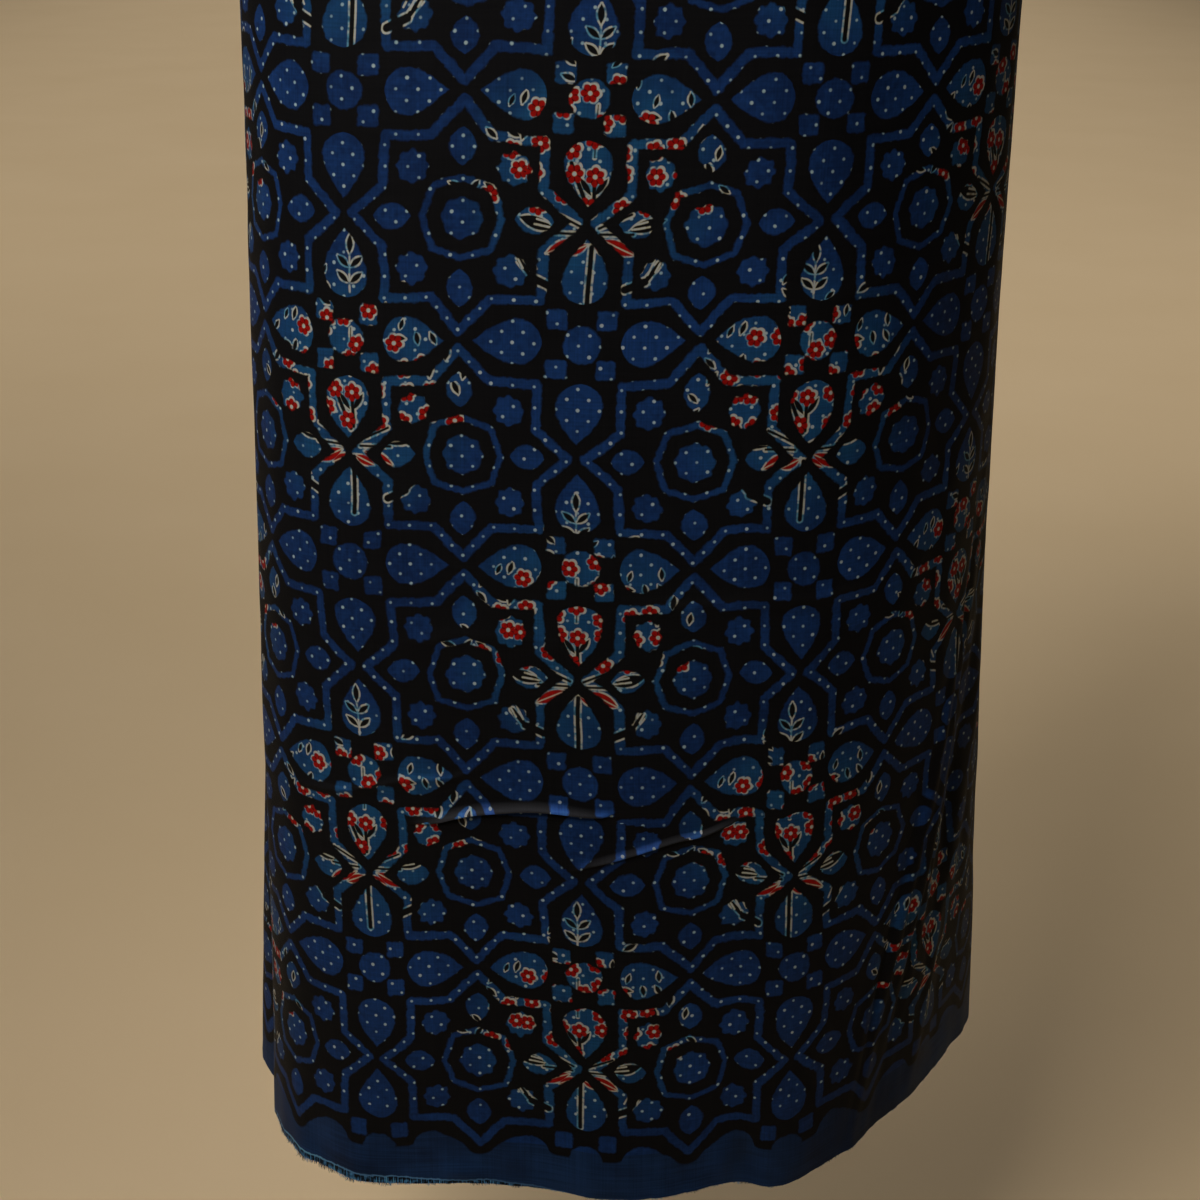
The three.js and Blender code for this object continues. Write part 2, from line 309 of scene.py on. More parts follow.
def build_cloth():
    count = NV * NS
    points = np.concatenate([outer.reshape(-1, 3), inner.reshape(-1, 3)])
    idx = np.arange(count).reshape(NV, NS)
    a, b, c, d = idx[:-1, :-1], idx[:-1, 1:], idx[1:, 1:], idx[1:, :-1]
    front = np.stack([a, b, c, d], -1).reshape(-1, 4)
    back = np.stack([a, d, c, b], -1).reshape(-1, 4) + count
    hem = np.stack([idx[0, :-1], idx[0, :-1] + count, idx[0, 1:] + count, idx[0, 1:]], -1)
    top = np.stack([idx[-1, :-1], idx[-1, 1:], idx[-1, 1:] + count, idx[-1, :-1] + count], -1)
    near = np.stack([idx[:-1, 0], idx[1:, 0], idx[1:, 0] + count, idx[:-1, 0] + count], -1)
    far = np.stack([idx[:-1, -1], idx[:-1, -1] + count, idx[1:, -1] + count, idx[1:, -1]], -1)
    groups = [front, back, hem, top, near, far]
    faces = np.concatenate(groups)
    mesh = bpy.data.meshes.new("cloth_drape")
    mesh.vertices.add(len(points))
    mesh.vertices.foreach_set("co", points.astype(np.float32).ravel())
    mesh.loops.add(faces.size)
    mesh.loops.foreach_set("vertex_index", faces.ravel().astype(np.int32))
    mesh.polygons.add(len(faces))
    mesh.polygons.foreach_set("loop_start", np.arange(0, faces.size, 4, dtype=np.int32))
    bushy = near_bush(S / REPEAT, PRINTED / REPEAT).ravel()
    slots = np.full(len(faces), 2, np.int32)
    slots[:len(front)] = np.where(bushy[front].any(axis=1), 0, 2)
    slots[len(front):len(front) + len(back)] = np.where(bushy[back - count].any(axis=1), 1, 3)
    mesh.polygons.foreach_set("material_index", slots)
    mesh.update(calc_edges=True)
    mesh.validate()

    # the cloth's own coordinates, in repeats of the print: along from the front column, up from the hem
    u = np.tile(((S - sway(V)) / REPEAT).ravel(), 2)
    v = np.tile((PRINTED / REPEAT).ravel(), 2)
    layer = mesh.uv_layers.new(name="cloth")
    layer.data.foreach_set("uv", np.stack([u[faces.ravel()], v[faces.ravel()]], -1).astype(np.float32).ravel())

    # hand registration: the blocks drift a little and their edges are not quite straight
    def drifted(drift, wobble, seed):
        x, y = (S - sway(V)) / REPEAT, PRINTED / REPEAT
        moved = [c + drift * value_noise(x * 1.9 + k, y * 1.9, seed + k) + wobble * value_noise(x * 8.3, y * 8.3 + k, seed + 5 + k)
                 for k, c in enumerate((x, y))]
        return np.stack([np.tile(c.ravel(), 2)[faces.ravel()] for c in moved], -1)

    for name, drift, wobble, seed in (("print", 0.013, 0.0072, 20), ("under", 0.010, 0.0026, 40)):
        layer = mesh.uv_layers.new(name=name)
        layer.data.foreach_set("uv", drifted(drift, wobble, seed).astype(np.float32).ravel())

    # how deep the dye has taken, in broad patches
    deep = 0.5 + 0.42 * value_noise(S / 97 + 2, V / 120 + 9, 12) + 0.3 * value_noise(S / 33, V / 41, 13)
    dye = mesh.attributes.new("dye", "FLOAT", "POINT")
    dye.data.foreach_set("value", np.tile(np.clip(deep, 0, 1).ravel(), 2).astype(np.float32))
    loose = mesh.attributes.new("open_weave", "FLOAT", "POINT")
    loose.data.foreach_set("value", np.tile((np.where(V < LOOM_WIDTH / 2, open_weave(S), 0.8) / REPEAT).ravel(), 2).astype(np.float32))
    # painted highlight: a lighter band on the upward ledges of the pleats, 0 to 1 per point
    painted_highlight = mesh.attributes.new("painted_highlight", "FLOAT", "POINT")
    painted_highlight.data.foreach_set("value", np.tile(ledge_highlight(S, V).ravel(), 2).astype(np.float32))

    # a further, unwrapped layout: face above, reverse below, the four rims in strips between
    su = np.tile(((S + LENGTH_LEFT) / (LENGTH_LEFT + LENGTH_RIGHT)).ravel(), 2)
    sv = np.tile((V / LOOM_WIDTH).ravel(), 2)
    is_inner = np.arange(2 * count) >= count
    flat = []
    for k, group in enumerate(groups):
        g = group.ravel()
        if k < 2:
            low, high = ((0.385, 0.995), (0.005, 0.355))[k]
            flat.append(np.stack([0.003 + 0.994 * su[g], low + (high - low) * sv[g]], -1))
        else:
            base = 0.358 + 0.0065 * (k - 2)
            run = su[g] if k < 4 else sv[g]
            flat.append(np.stack([0.003 + 0.994 * run, base + 0.0045 * is_inner[g]], -1))
    layer = mesh.uv_layers.new(name="OFBake")
    layer.data.foreach_set("uv", np.concatenate(flat).astype(np.float32).ravel())
    mesh.uv_layers["cloth"].active = True
    mesh.uv_layers["cloth"].active_render = True
    mesh.polygons.foreach_set("use_smooth", np.ones(len(faces), bool))
    mesh.shade_smooth()
    # the thin rims and the lips of the pleats stay crisp
    rim = np.zeros(len(mesh.edges), bool)
    ev = np.empty(len(mesh.edges) * 2, np.int32)
    mesh.edges.foreach_get("vertices", ev)
    ev = ev.reshape(-1, 2)
    flat_index = ev % count
    r, c2 = flat_index // NS, flat_index % NS
    same = (ev[:, 0] < count) == (ev[:, 1] < count)
    for line, at in ((r, 0), (r, NV - 1), (c2, 0), (c2, NS - 1)):
        rim |= same & (line[:, 0] == at) & (line[:, 1] == at)
    for row, points in ((ROW_OBLIQUE, OBLIQUE[1]), (ROW_WAIST, WAIST[1])):
        lips = (r == row) & (ALONG[c2] > points[0][0] + 8) & (ALONG[c2] < points[-1][0] - 4)
        rim |= same & lips.all(axis=1)
    sharp = mesh.attributes.new("sharp_edge", "BOOLEAN", "EDGE")
    sharp.data.foreach_set("value", rim)
    obj = bpy.data.objects.new("cloth_drape", mesh)
    bpy.context.scene.collection.objects.link(obj)
    return obj


# ---------------------------------------------------------------- loose threads along the raw edges
def build_fray():
    rng = np.random.default_rng(11)
    verts, faces, shade = [], [], []
    middle = grid

    def thread(root, direction, side, out, length, thick, tone):
        """A thin three-sided thread that tapers and curls."""
        base = len(verts)
        bend_side, bend_out = rng.normal(0, 0.28), rng.normal(0.03, 0.16)
        for k in range(4):
            t = k / 3
            centre = root + direction * length * t + side * bend_side * length * t * t + out * bend_out * length * t * t
            w = thick * (1 - 0.6 * t)
            for m in range(3):
                a = 2 * math.pi * m / 3
                verts.append(centre + (side * math.cos(a) + out * math.sin(a)) * w)
        for k in range(3):
            for m in range(3):
                a, b = base + 3 * k + m, base + 3 * k + (m + 1) % 3
                faces.append((a, b, b + 3, a + 3))
        faces.append((base + 2, base + 1, base))
        faces.append((base + 9, base + 10, base + 11))
        shade.append((tone, 11))

    def along_edge(points, outs, inward, step, usual, tag):
        seg = np.linalg.norm(np.diff(points, axis=0), axis=1)
        length = np.concatenate([[0], np.cumsum(seg)])
        at = 0.0
        while at < length[-1]:
            p = np.array([np.interp(at, length, points[:, k]) for k in range(3)])
            o = np.array([np.interp(at, length, outs[:, k]) for k in range(3)])
            q = np.array([np.interp(min(at + 1, length[-1]), length, points[:, k]) for k in range(3)])
            r = np.array([np.interp(max(at - 1, 0), length, points[:, k]) for k in range(3)])
            side = (q - r) / np.linalg.norm(q - r)
            away = np.cross(side, o) * (1 if tag else -1)
            away = away / np.linalg.norm(away)
            def drift(span, seed): return float(value_noise(np.array(at / span), np.array(seed + 1.0), seed))
            ragged = 0.55 + 0.25 * drift(34.0, 9) + 0.50 * drift(5.5, 6)
            size = usual(at) * (0.25 + 0.95 * max(0.0, ragged)) * (0.55 + 0.6 * rng.random())
            thread(p - away * inward, away, side, o, size + inward, 0.20 + 0.16 * rng.random(), 0.5 + 0.45 * drift(3.6, 3) + 0.5 * (rng.random() - 0.5))
            at += step * (0.5 + rng.random())

    hem_fray = smooth_curve(*zip(*FRAY))
    along_edge(middle[0], normal[0], 0.8, 0.50, lambda at: float(hem_fray(at - LENGTH_LEFT)), True)
    along_edge(middle[:, 0], normal[:, 0], 0.8, 2.4, lambda at: 2.4, False)
    along_edge(middle[:, -1], normal[:, -1], 0.8, 2.4, lambda at: 2.4, True)
    along_edge(middle[-1], normal[-1], 0.8, 2.6, lambda at: 1.2, False)
    mesh = bpy.data.meshes.new("cloth_fray")
    mesh.from_pydata([tuple(p * MM) for p in verts], [], faces)
    tone = mesh.attributes.new("tone", "FLOAT", "FACE")
    tone.data.foreach_set("value", np.repeat([t for t, _ in shade], [n for _, n in shade]).astype(np.float32))
    mesh.shade_smooth()
    obj = bpy.data.objects.new("cloth_fray", mesh)
    bpy.context.scene.collection.objects.link(obj)
    return obj


# ---------------------------------------------------------------- node arithmetic
class Val:
    """A socket that can be added, scaled and compared; each step makes one node."""

    def __init__(self, net, socket, vector=False):
        self.net, self.socket, self.vector = net, socket, vector

    def _two(self, op, other, flip=False):
        a, b = (other, self) if flip else (self, other)
        return self.net.vec(op, a, b) if self.vector else self.net.math(op, a, b)

    def __add__(self, o): return self._two("ADD", o)
    def __radd__(self, o): return self._two("ADD", o, True)
    def __sub__(self, o): return self._two("SUBTRACT", o)
    def __rsub__(self, o): return self._two("SUBTRACT", o, True)
    def __mul__(self, o): return self._two("MULTIPLY", o)
    def __rmul__(self, o): return self._two("MULTIPLY", o, True)


class Net:
    def __init__(self, tree):
        self.tree = tree

    def put(self, kind, settings=None, values=None, out=0, vector=False):
        node = self.tree.nodes.new(kind)
        for key, val in (settings or {}).items():
            setattr(node, key, val)
        for key, val in (values or {}).items():
            if isinstance(val, Val):
                self.tree.links.new(val.socket, node.inputs[key])
            else:
                node.inputs[key].default_value = val
        return Val(self, node.outputs[out], vector)

    def math(self, op, a, b=None, c=None, clamp=False):
        values = {k: v for k, v in enumerate((a, b, c)) if v is not None}
        return self.put("ShaderNodeMath", {"operation": op, "use_clamp": clamp}, values)

    def vec(self, op, a, b=None, scale=None):
        values = {0: a}
        if b is not None:
            values[1] = b
        if scale is not None:
            values[3] = scale
        number = op in ("LENGTH", "DISTANCE", "DOT_PRODUCT")
        return self.put("ShaderNodeVectorMath", {"operation": op}, values, 1 if number else 0, not number)

    def ma(self, a, m, c, clamp=False): return self.math("MULTIPLY_ADD", a, m, c, clamp)
    def low(self, *v):
        first = v[0]
        for other in v[1:]:
            first = self.math("MINIMUM", first, other)
        return first
    def high(self, a, b): return self.math("MAXIMUM", a, b)
    def absolute(self, a): return self.vec("ABSOLUTE", a) if a.vector else self.math("ABSOLUTE", a)
    def split(self, v):
        node = self.tree.nodes.new("ShaderNodeSeparateXYZ")
        self.tree.links.new(v.socket, node.inputs[0])
        return Val(self, node.outputs[0]), Val(self, node.outputs[1])
    def join(self, x, y): return self.put("ShaderNodeCombineXYZ", None, {0: x, 1: y}, 0, True)
    def noise(self, v, scale, detail=0.0, rough=0.5, out=0):
        return self.put("ShaderNodeTexNoise", {"noise_dimensions": "2D"},
                        {"Vector": v, "Scale": scale, "Detail": detail, "Roughness": rough}, out, out == 1)
    def inside(self, d, soft):
        """1 where d is below zero, 0 where it is above, across an edge of this width."""
        return self.ma(d, -1.0 / soft, 0.5, True)
    def mix(self, f, a, b):
        return self.put("ShaderNodeMix", {"data_type": "RGBA"}, {0: f, 6: a, 7: b}, 2)
    def line(self, p, a, b):
        """Distance to a straight stroke from a to b, and how far along it, 0 to 1."""
        run = Vector(b) - Vector(a)
        from_a = p - tuple(a)
        along = self.ma(self.vec("DOT_PRODUCT", from_a, tuple(run / run.length_squared)), 1.0, 0.0, True)
        foot = self.vec("SCALE", tuple(run), scale=along)
        return self.vec("DISTANCE", from_a, foot), along
    def strip(self, p, a, b, half): return self.line(p, a, b)[0] - half
    def leaf(self, p, a, b, half):
        d, t = self.line(p, a, b)
        return d - (t * (1.0 - t)) * (4.0 * half)
    def rosette(self, p, r, lobes, depth):
        x, y = self.split(p)
        wave = self.math("COSINE", self.math("ARCTAN2", y, x) * float(lobes))
        return self.vec("LENGTH", p) - self.ma(wave, r * depth, r)


def colour(r, g, b, gain=1.0):
    """A colour given as eight-bit values, for the shader."""
    def lin(c):
        c /= 255
        return c / 12.92 if c <= 0.04045 else ((c + 0.055) / 1.055) ** 2.4
    return (lin(r) * gain, lin(g) * gain, lin(b) * gain, 1.0)


BLACK = colour(15, 15, 17)
BLUE_DEEP, BLUE = colour(17, 39, 79), colour(24, 55, 106)
TEAL = colour(26, 72, 110)
RED, RED_DEEP = colour(142, 13, 9), colour(84, 6, 6)
CREAM, CREAM_COOL = colour(224, 212, 182), colour(92, 146, 172)
DOT = colour(168, 196, 204)
BORDER, BORDER_DEEP = colour(26, 51, 89), colour(15, 31, 58)
EDGE = colour(122, 184, 240)
# FRINGE_DEEP serves the dark loose threads and the painted shadow under the pale line of the raw edge
FRINGE, FRINGE_DEEP = colour(78, 142, 198), colour(8, 12, 18)
# pale tone added in the painted highlight on the pleat ledges
HIGHLIGHT_TINT = (0.0140, 0.0142, 0.0160)


def xyz(x, y): return (x, y, 0.0)


# One eighth of the printed square, in repeats: the ring is at (0, 0), a tip of the lattice at (1/2, 0), its corner on the diagonal.
LATTICE = [(0.464, 0.0), (0.325, 0.124), (0.324, 0.322)]
LATTICE_HALF = 0.0228
RING = [(0.164, 0.0), (0.123, 0.122)]
RING_HALF = 0.0165
# Under-print bush, in repeats from its middle, up is positive: (from, to, half-width).
STEMS = [
    ((0.006, -0.055), (0.002, -0.312), 0.0105), ((-0.006, 0.070), (-0.092, 0.275), 0.0095), ((0.006, 0.080), (0.004, 0.235), 0.0088),
    ((0.0, 0.30), (0.004, 0.50), 0.0030),
]
# The rest is mirrored left and right.
STROKES = [
    ((0.030, 0.020), (0.160, 0.078), 0.0065), ((0.036, -0.004), (0.170, -0.004), 0.0060),
    ((0.286, -0.128), (0.230, -0.200), 0.0110), ((0.230, -0.200), (0.152, -0.234), 0.0170),
]
LEAVES = [((0.006, 0.150), (0.056, 0.222), 0.0125), ((0.155, 0.010), (0.298, 0.052), 0.0260)]
PETALS = [((0.050, -0.026), (0.180, -0.090), 0.0260), ((0.012, -0.046), (0.098, -0.088), 0.0200)]
VEINS = [
    ((0.165, 0.016), (0.235, 0.026)), ((0.178, 0.036), (0.225, 0.047)), ((0.240, -0.105), (0.214, -0.160)),
    ((0.266, -0.112), (0.240, -0.170)), ((0.294, -0.118), (0.272, -0.160)),
]
LEAFLET = ((0.0, -0.030), (0.0, 0.030), 0.0118)
# Spray at the bush's top: foot and tip of the stalk, its leaf pairs (from, to, half-width, step, count), its end leaf.
STALK = ((0.0, 0.650), (0.0, 0.805))
PAIR = ((0.004, 0.692), (0.056, 0.734), 0.0124, 0.064, 2)
END_LEAF = ((0.0, 0.808), (0.0, 0.886), 0.0140)


def build_print(name, bushes):
    """The block print as a node group: colour, and how rough it is; with or without the bushes of the under-print."""
    tree = bpy.data.node_groups.new(name, "ShaderNodeTree")
    tree.interface.new_socket("Color", in_out="OUTPUT", socket_type="NodeSocketColor")
    tree.interface.new_socket("Gloss", in_out="OUTPUT", socket_type="NodeSocketFloat")
    n = Net(tree)
    uv = n.put("ShaderNodeUVMap", {"uv_map": "cloth"}, vector=True)
    under = n.put("ShaderNodeUVMap", {"uv_map": "under"}, vector=True)
    dye = n.put("ShaderNodeAttribute", {"attribute_name": "dye"}, out=2)
    sx, sy = n.split(n.put("ShaderNodeUVMap", {"uv_map": "print"}, vector=True))
    fx = n.absolute(n.math("FRACT", sx) - 0.5)
    rise = sy - HEM_ROW
    row = n.put("ShaderNodeClamp", None, {0: n.math("ROUND", rise), 1: 0.0, 2: float(ROW_COUNT - 1)})
    fy = n.absolute(rise - row)
    far, near = n.high(fx, fy), n.low(fx, fy)
    p = n.join(far, near)

    # ---- the lattice: d is below zero in the openings that the dark ground leaves
    band = n.low(n.line(p, xyz(*LATTICE[0]), xyz(*LATTICE[1]))[0], n.line(p, xyz(*LATTICE[1]), xyz(*LATTICE[2]))[0]) - LATTICE_HALF
    q = n.absolute(p - xyz(0.397, 0.397)) - (0.0295, 0.0295, 0.0)
    square = n.vec("LENGTH", n.vec("MAXIMUM", q, (0.0, 0.0, 0.0))) - 0.0150
    frame_d = n.low(band, square)
    d = n.low(frame_d, n.strip(p, xyz(*RING[0]), xyz(*RING[1]), RING_HALF))
    d = n.low(d, n.rosette(p, 0.087, 8, 0.045))
    d = n.low(d, n.rosette(p - xyz(0.204, 0.204), 0.066, 8, 0.07))
    d = n.low(d, n.vec("DISTANCE", p, xyz(0.5, 0.5)) - 0.083)
    # pear-shaped openings on both axes, round end towards the squares
    t = n.ma(near, 1.0 / 0.287, -0.047 / 0.287, True)
    pear = t * n.math("SQRT", 1.0 - t)
    d = n.low(d, n.absolute(0.5 - far) - n.ma(pear, (0.0995 + 0.013) * 2.598, -0.013))
    # pointed ovals between the ring and the lattice's tips
    t = n.ma(far, 1.0 / 0.080, -0.286 / 0.080)
    oval = n.math("POWER", n.math("SUBTRACT", 1.0, t * t, clamp=True), 0.7)
    d = n.low(d, near - n.ma(oval, 0.070, -0.012))
    ink = n.noise(uv, 34.0, 1.0, 0.6) - 0.5
    d = n.ma(ink, 0.016, d)
    ground = n.ma(d, 1 / 0.0085, 0.5 + 0.0034 / 0.0085, True)
    if not bushes:  # past the last row the dark ground only follows the lattice
        edge_up = n.absolute(sy - LOOM_WIDTH / REPEAT / 2)
        last = edge_up - (ROW_COUNT / 2 - 0.35)
        ground = ground * n.inside(n.low(frame_d - 0.050, fy - 0.472, last), 0.010)

    # ---- the dyed cloth, with resist dots on a lattice of their own
    mottle = n.noise(uv, 7.0, 1.0, 0.6)
    thread = n.noise(uv * (3.0, 120.0, 1.0), 1.0)
    col = n.mix(n.ma(mottle + dye, 0.95, n.ma(ink, 1.3, -0.45), True), BLUE_DEEP, BLUE)
    cell = n.put("ShaderNodeMapping", None, {0: under, 2: (0.0, 0.0, math.radians(45)),
                                             3: (15.46, 15.7, 1.0)}, vector=True)
    spot = n.put("ShaderNodeTexWhiteNoise", {"noise_dimensions": "2D"}, {"Vector": n.vec("FLOOR", cell)})
    from_dot = n.vec("DISTANCE", n.vec("FRACTION", cell), (0.5, 0.5, 0.0)) * 0.0647
    limit = n.math("LESS_THAN", n.absolute(sy - (HEM_ROW + (ROW_COUNT - 1) / 2)), (ROW_COUNT - 1) / 2 + 0.27)
    dots = n.inside(from_dot - n.ma(spot, 0.0020, 0.0052), 0.0056) * limit * n.ma(dye, 0.46, n.ma(spot, 0.46, 0.32))

    # ---- flowering bush, printed beneath and seen in the openings
    if bushes:
        ux, uy = n.split(under)
        uy = uy - HEM_ROW
        al, be = (ux + uy) * 0.5, (ux - uy) * 0.5
        i, j = n.math("ROUND", al), n.math("ROUND", be)
        al, be = al - i, be - j
        shift = n.put("ShaderNodeTexWhiteNoise", {"noise_dimensions": "2D"}, {"Vector": n.join(i, j)}, 1, True) - (0.5, 0.5, 0.5)
        bush = n.join(al + be, al - be) + n.vec("MULTIPLY", shift, (0.075, 0.075, 0.0))
        absent = n.math("GREATER_THAN", n.absolute(i - j - (ROW_COUNT - 1) / 2), (ROW_COUNT - 1) / 2 + 0.5)

        def scatter(scale, randomness, offset):
            node = tree.nodes.new("ShaderNodeTexVoronoi")
            node.voronoi_dimensions = "2D"
            tree.links.new((bush + offset).socket, node.inputs["Vector"])
            node.inputs["Scale"].default_value = scale
            node.inputs["Randomness"].default_value = randomness
            spot_at = Val(n, node.outputs["Position"], True) - offset
            return spot_at, Val(n, node.outputs["Color"], True)

        def crown(at, low_edge, high_edge):
            out = n.absolute(at - xyz(0.0, 0.10)) * (0.5 / 0.47, 0.5 / 0.62, 0.0)
            size = n.vec("DOT_PRODUCT", out, (1.0, 1.0, 0.0)) + n.vec("LENGTH", out)
            mid = (low_edge + high_edge) / 2
            return size, n.math("GREATER_THAN", n.absolute(n.split(at)[1] - mid), high_edge - mid)

        at, dice = scatter(9.3, 0.62, (0.031, 0.012, 0.0))
        size, beside = crown(at, 0.055, 0.615)
        off = n.high(n.math("GREATER_THAN", size, 1.0), n.high(beside, absent))
        petal = bush - at
        px, py = n.split(petal)
        lobe = n.absolute(n.math("COSINE", n.ma(n.math("ARCTAN2", py, px), 3.0, n.split(dice)[0] * 3.14)))
        reach = n.vec("LENGTH", petal)
        flower = reach - n.ma(lobe, 0.0090, 0.0300) + off
        lean = n.vec("DOT_PRODUCT", petal, (16.0, 11.0, 0.0))
        heart = n.inside(reach - 0.0082 + off, 0.006)
        seam = n.inside(lobe - 0.32, 0.4) * n.inside(0.012 - reach, 0.01)

        at, dice = scatter(14.0, 0.55, (0.217, 0.143, 0.0))
        size, beside = crown(at, 0.12, 0.86)
        turn, kind = n.split(dice)
        crowded = n.math("LESS_THAN", n.vec("DISTANCE", at, xyz(0.0, 0.765)), 0.115)
        off = n.high(n.high(n.math("GREATER_THAN", n.absolute(size - 1.10), 0.20), n.math("LESS_THAN", kind, 0.40)), n.high(n.high(beside, crowded), absent))
        turned = n.put("ShaderNodeVectorRotate", {"rotation_type": "Z_AXIS"}, {"Vector": bush - at, "Angle": turn * 6.28}, vector=True)
        drawn = n.leaf(n.vec("SCALE", turned, scale=n.ma(kind, -0.75, 1.62)), xyz(*LEAFLET[0]), xyz(*LEAFLET[1]), LEAFLET[2]) + off

        bx, by = n.split(bush)
        pair = n.join(n.absolute(bx), by)
        a, b, half, step, many = PAIR
        node = n.put("ShaderNodeClamp", None, {0: n.math("ROUND", n.ma(by, 1 / step, -(a[1] + b[1]) / 2 / step)), 1: 0.0, 2: float(many - 1)})
        inked = n.leaf(n.join(n.absolute(bx), n.ma(node, -step, by)), xyz(*a), xyz(*b), half)
        inked = n.low(inked, n.strip(bush, xyz(*STALK[0]), xyz(*STALK[1]), -0.0030))
        inked = n.low(inked, n.leaf(bush, xyz(*END_LEAF[0]), xyz(*END_LEAF[1]), END_LEAF[2]))
        for a, b, half in STEMS:
            e = n.strip(bush, xyz(*a), xyz(*b), half)
            inked = n.low(inked, e)
        for a, b, half in STROKES:
            inked = n.low(inked, n.strip(pair, xyz(*a), xyz(*b), half))
        for a, b, half in LEAVES:
            inked = n.low(inked, n.leaf(pair, xyz(*a), xyz(*b), half))
        drawn = n.low(drawn, inked + absent)
        red, rib = None, None
        for a, b, half in PETALS:
            e, t = n.line(pair, xyz(*a), xyz(*b))
            rib = e if rib is None else n.low(rib, e)
            e = e - t * (1.0 - t) * (4.0 * half)
            red = e if red is None else n.low(red, e)
        red = red + absent
        vein = None
        for a, b in VEINS:
            e = n.line(pair, xyz(*a), xyz(*b))[0]
            vein = e if vein is None else n.low(vein, e)
        vein = vein + absent

        close = n.inside(n.vec("LENGTH", (bush - xyz(0.0, 0.22)) * (1 / 0.55, 1 / 0.58, 0.0)) - 0.80 + absent, 0.5)
        col = n.mix(close * n.ma(mottle, 1.2, 0.12, True), col, TEAL)
    col = n.mix(dots, col, DOT)
    if bushes:
        worn = n.ma(ink, 2.2, 1.05, True)
        cream = n.mix(n.ma(ink, 2.4, n.ma(lean, 0.9, 0.50), True), CREAM_COOL, CREAM)
        col = n.mix(n.inside(n.low(drawn - 0.0066, flower - n.ma(lean, 0.0040, 0.0066), red - 0.0062), 0.006) * worn, col, cream)
        col = n.mix(n.inside(red, 0.006), col, n.mix(n.inside(rib - 0.0022, 0.005) * 0.8, RED, CREAM))
        col = n.mix(n.inside(drawn, 0.006), col, BLACK)
        col = n.mix(n.inside(vein - 0.0036, 0.005) * worn, col, CREAM)
        col = n.mix(n.inside(flower, 0.006), col, n.mix(seam, RED, RED_DEEP))
        col = n.mix(heart, col, CREAM)
    warp = n.noise(uv * (140.0, 2.0, 1.0), 1.0)
    if not bushes:  # plain border past the last row
        plain = n.math("GREATER_THAN", fy, 0.40) * n.math("GREATER_THAN", last, 0.0) * n.math("GREATER_THAN", frame_d, 0.0)
        col = n.mix(plain, col, n.mix(n.ma(mottle + dye, 0.95, n.ma(thread, 0.3, -0.6), True), BORDER_DEEP, BORDER))
    col = n.mix(ground, col, BLACK)
    if not bushes:  # the raw edge: a pale line, and below it only the upright threads are left; right under the pale line they are painted dark as the shadow of the rolled edge, lighter further down, with random dark threads from noise
        loose = n.put("ShaderNodeAttribute", {"attribute_name": "open_weave"}, out=2)
        gap = n.ma(ink, 0.012, LOOM_WIDTH / REPEAT / 2 - edge_up) - loose
        col = n.mix(n.inside(gap, 0.005), col, n.mix(n.ma(ink, 2.2, n.ma(warp, 2.2, n.ma(gap, -13.0, -1.15)), True), FRINGE_DEEP, FRINGE))
        col = n.mix(n.inside(n.absolute(gap - 0.004) - 0.0035, 0.007) * n.ma(dye, 0.6, 0.35) * n.ma(loose, 18.0, 0.20, True), col, EDGE)
    # threads: slight light and dark along both ways of the weave; then a painted highlight on the pleat ledges: the
    # colour brightened and lifted towards white there, capped
    painted_highlight = n.put("ShaderNodeAttribute", {"attribute_name": "painted_highlight"}, out=2)
    col = n.vec("SCALE", col, scale=n.ma(warp + thread, 0.34, 0.66) * n.ma(painted_highlight, 3.2, 1.0))
    col = n.vec("MINIMUM", col + n.vec("SCALE", HIGHLIGHT_TINT, scale=painted_highlight), (0.40, 0.42, 0.44))

    end = tree.nodes.new("NodeGroupOutput")
    tree.links.new(col.socket, end.inputs["Color"])
    tree.links.new(n.ma(ground, 0.04, n.ma(mottle, 0.14, 0.50)).socket, end.inputs["Gloss"])
    return tree


def cloth_material(name, group, reverse):
    mat = bpy.data.materials.new(name)
    mat.use_nodes = True
    tree = mat.node_tree
    n = Net(tree)
    shader = tree.nodes["Principled BSDF"]
    print_node = tree.nodes.new("ShaderNodeGroup")
    print_node.node_tree = group
    col = Val(n, print_node.outputs["Color"])
    uv = n.put("ShaderNodeUVMap", {"uv_map": "cloth"}, vector=True)
    if reverse:
        col = n.mix(0.42, col, colour(24, 44, 82))
    tree.links.new(col.socket, shader.inputs["Base Color"])
    rough = Val(n, print_node.outputs["Gloss"])
    tree.links.new((rough + 0.2 if reverse else rough).socket, shader.inputs["Roughness"])
    # a fine weave of crossing threads
    ux, uy = n.split(uv * (REPEAT, REPEAT, 1.0))
    weave = n.math("SINE", ux * (2 * math.pi / 0.62)) * n.math("SINE", uy * (2 * math.pi / 0.62))
    bump = tree.nodes.new("ShaderNodeBump")
    bump.inputs["Strength"].default_value = 0.5
    bump.inputs["Distance"].default_value = 0.00004
    tree.links.new(weave.socket, bump.inputs["Height"])
    tree.links.new(bump.outputs["Normal"], shader.inputs["Normal"])
    shader.inputs["Specular IOR Level"].default_value = 0.06
    shader.inputs["Sheen Weight"].default_value = 0.008
    shader.inputs["Sheen Roughness"].default_value = 0.45
    shader.inputs["Sheen Tint"].default_value = colour(150, 175, 215)
    return mat


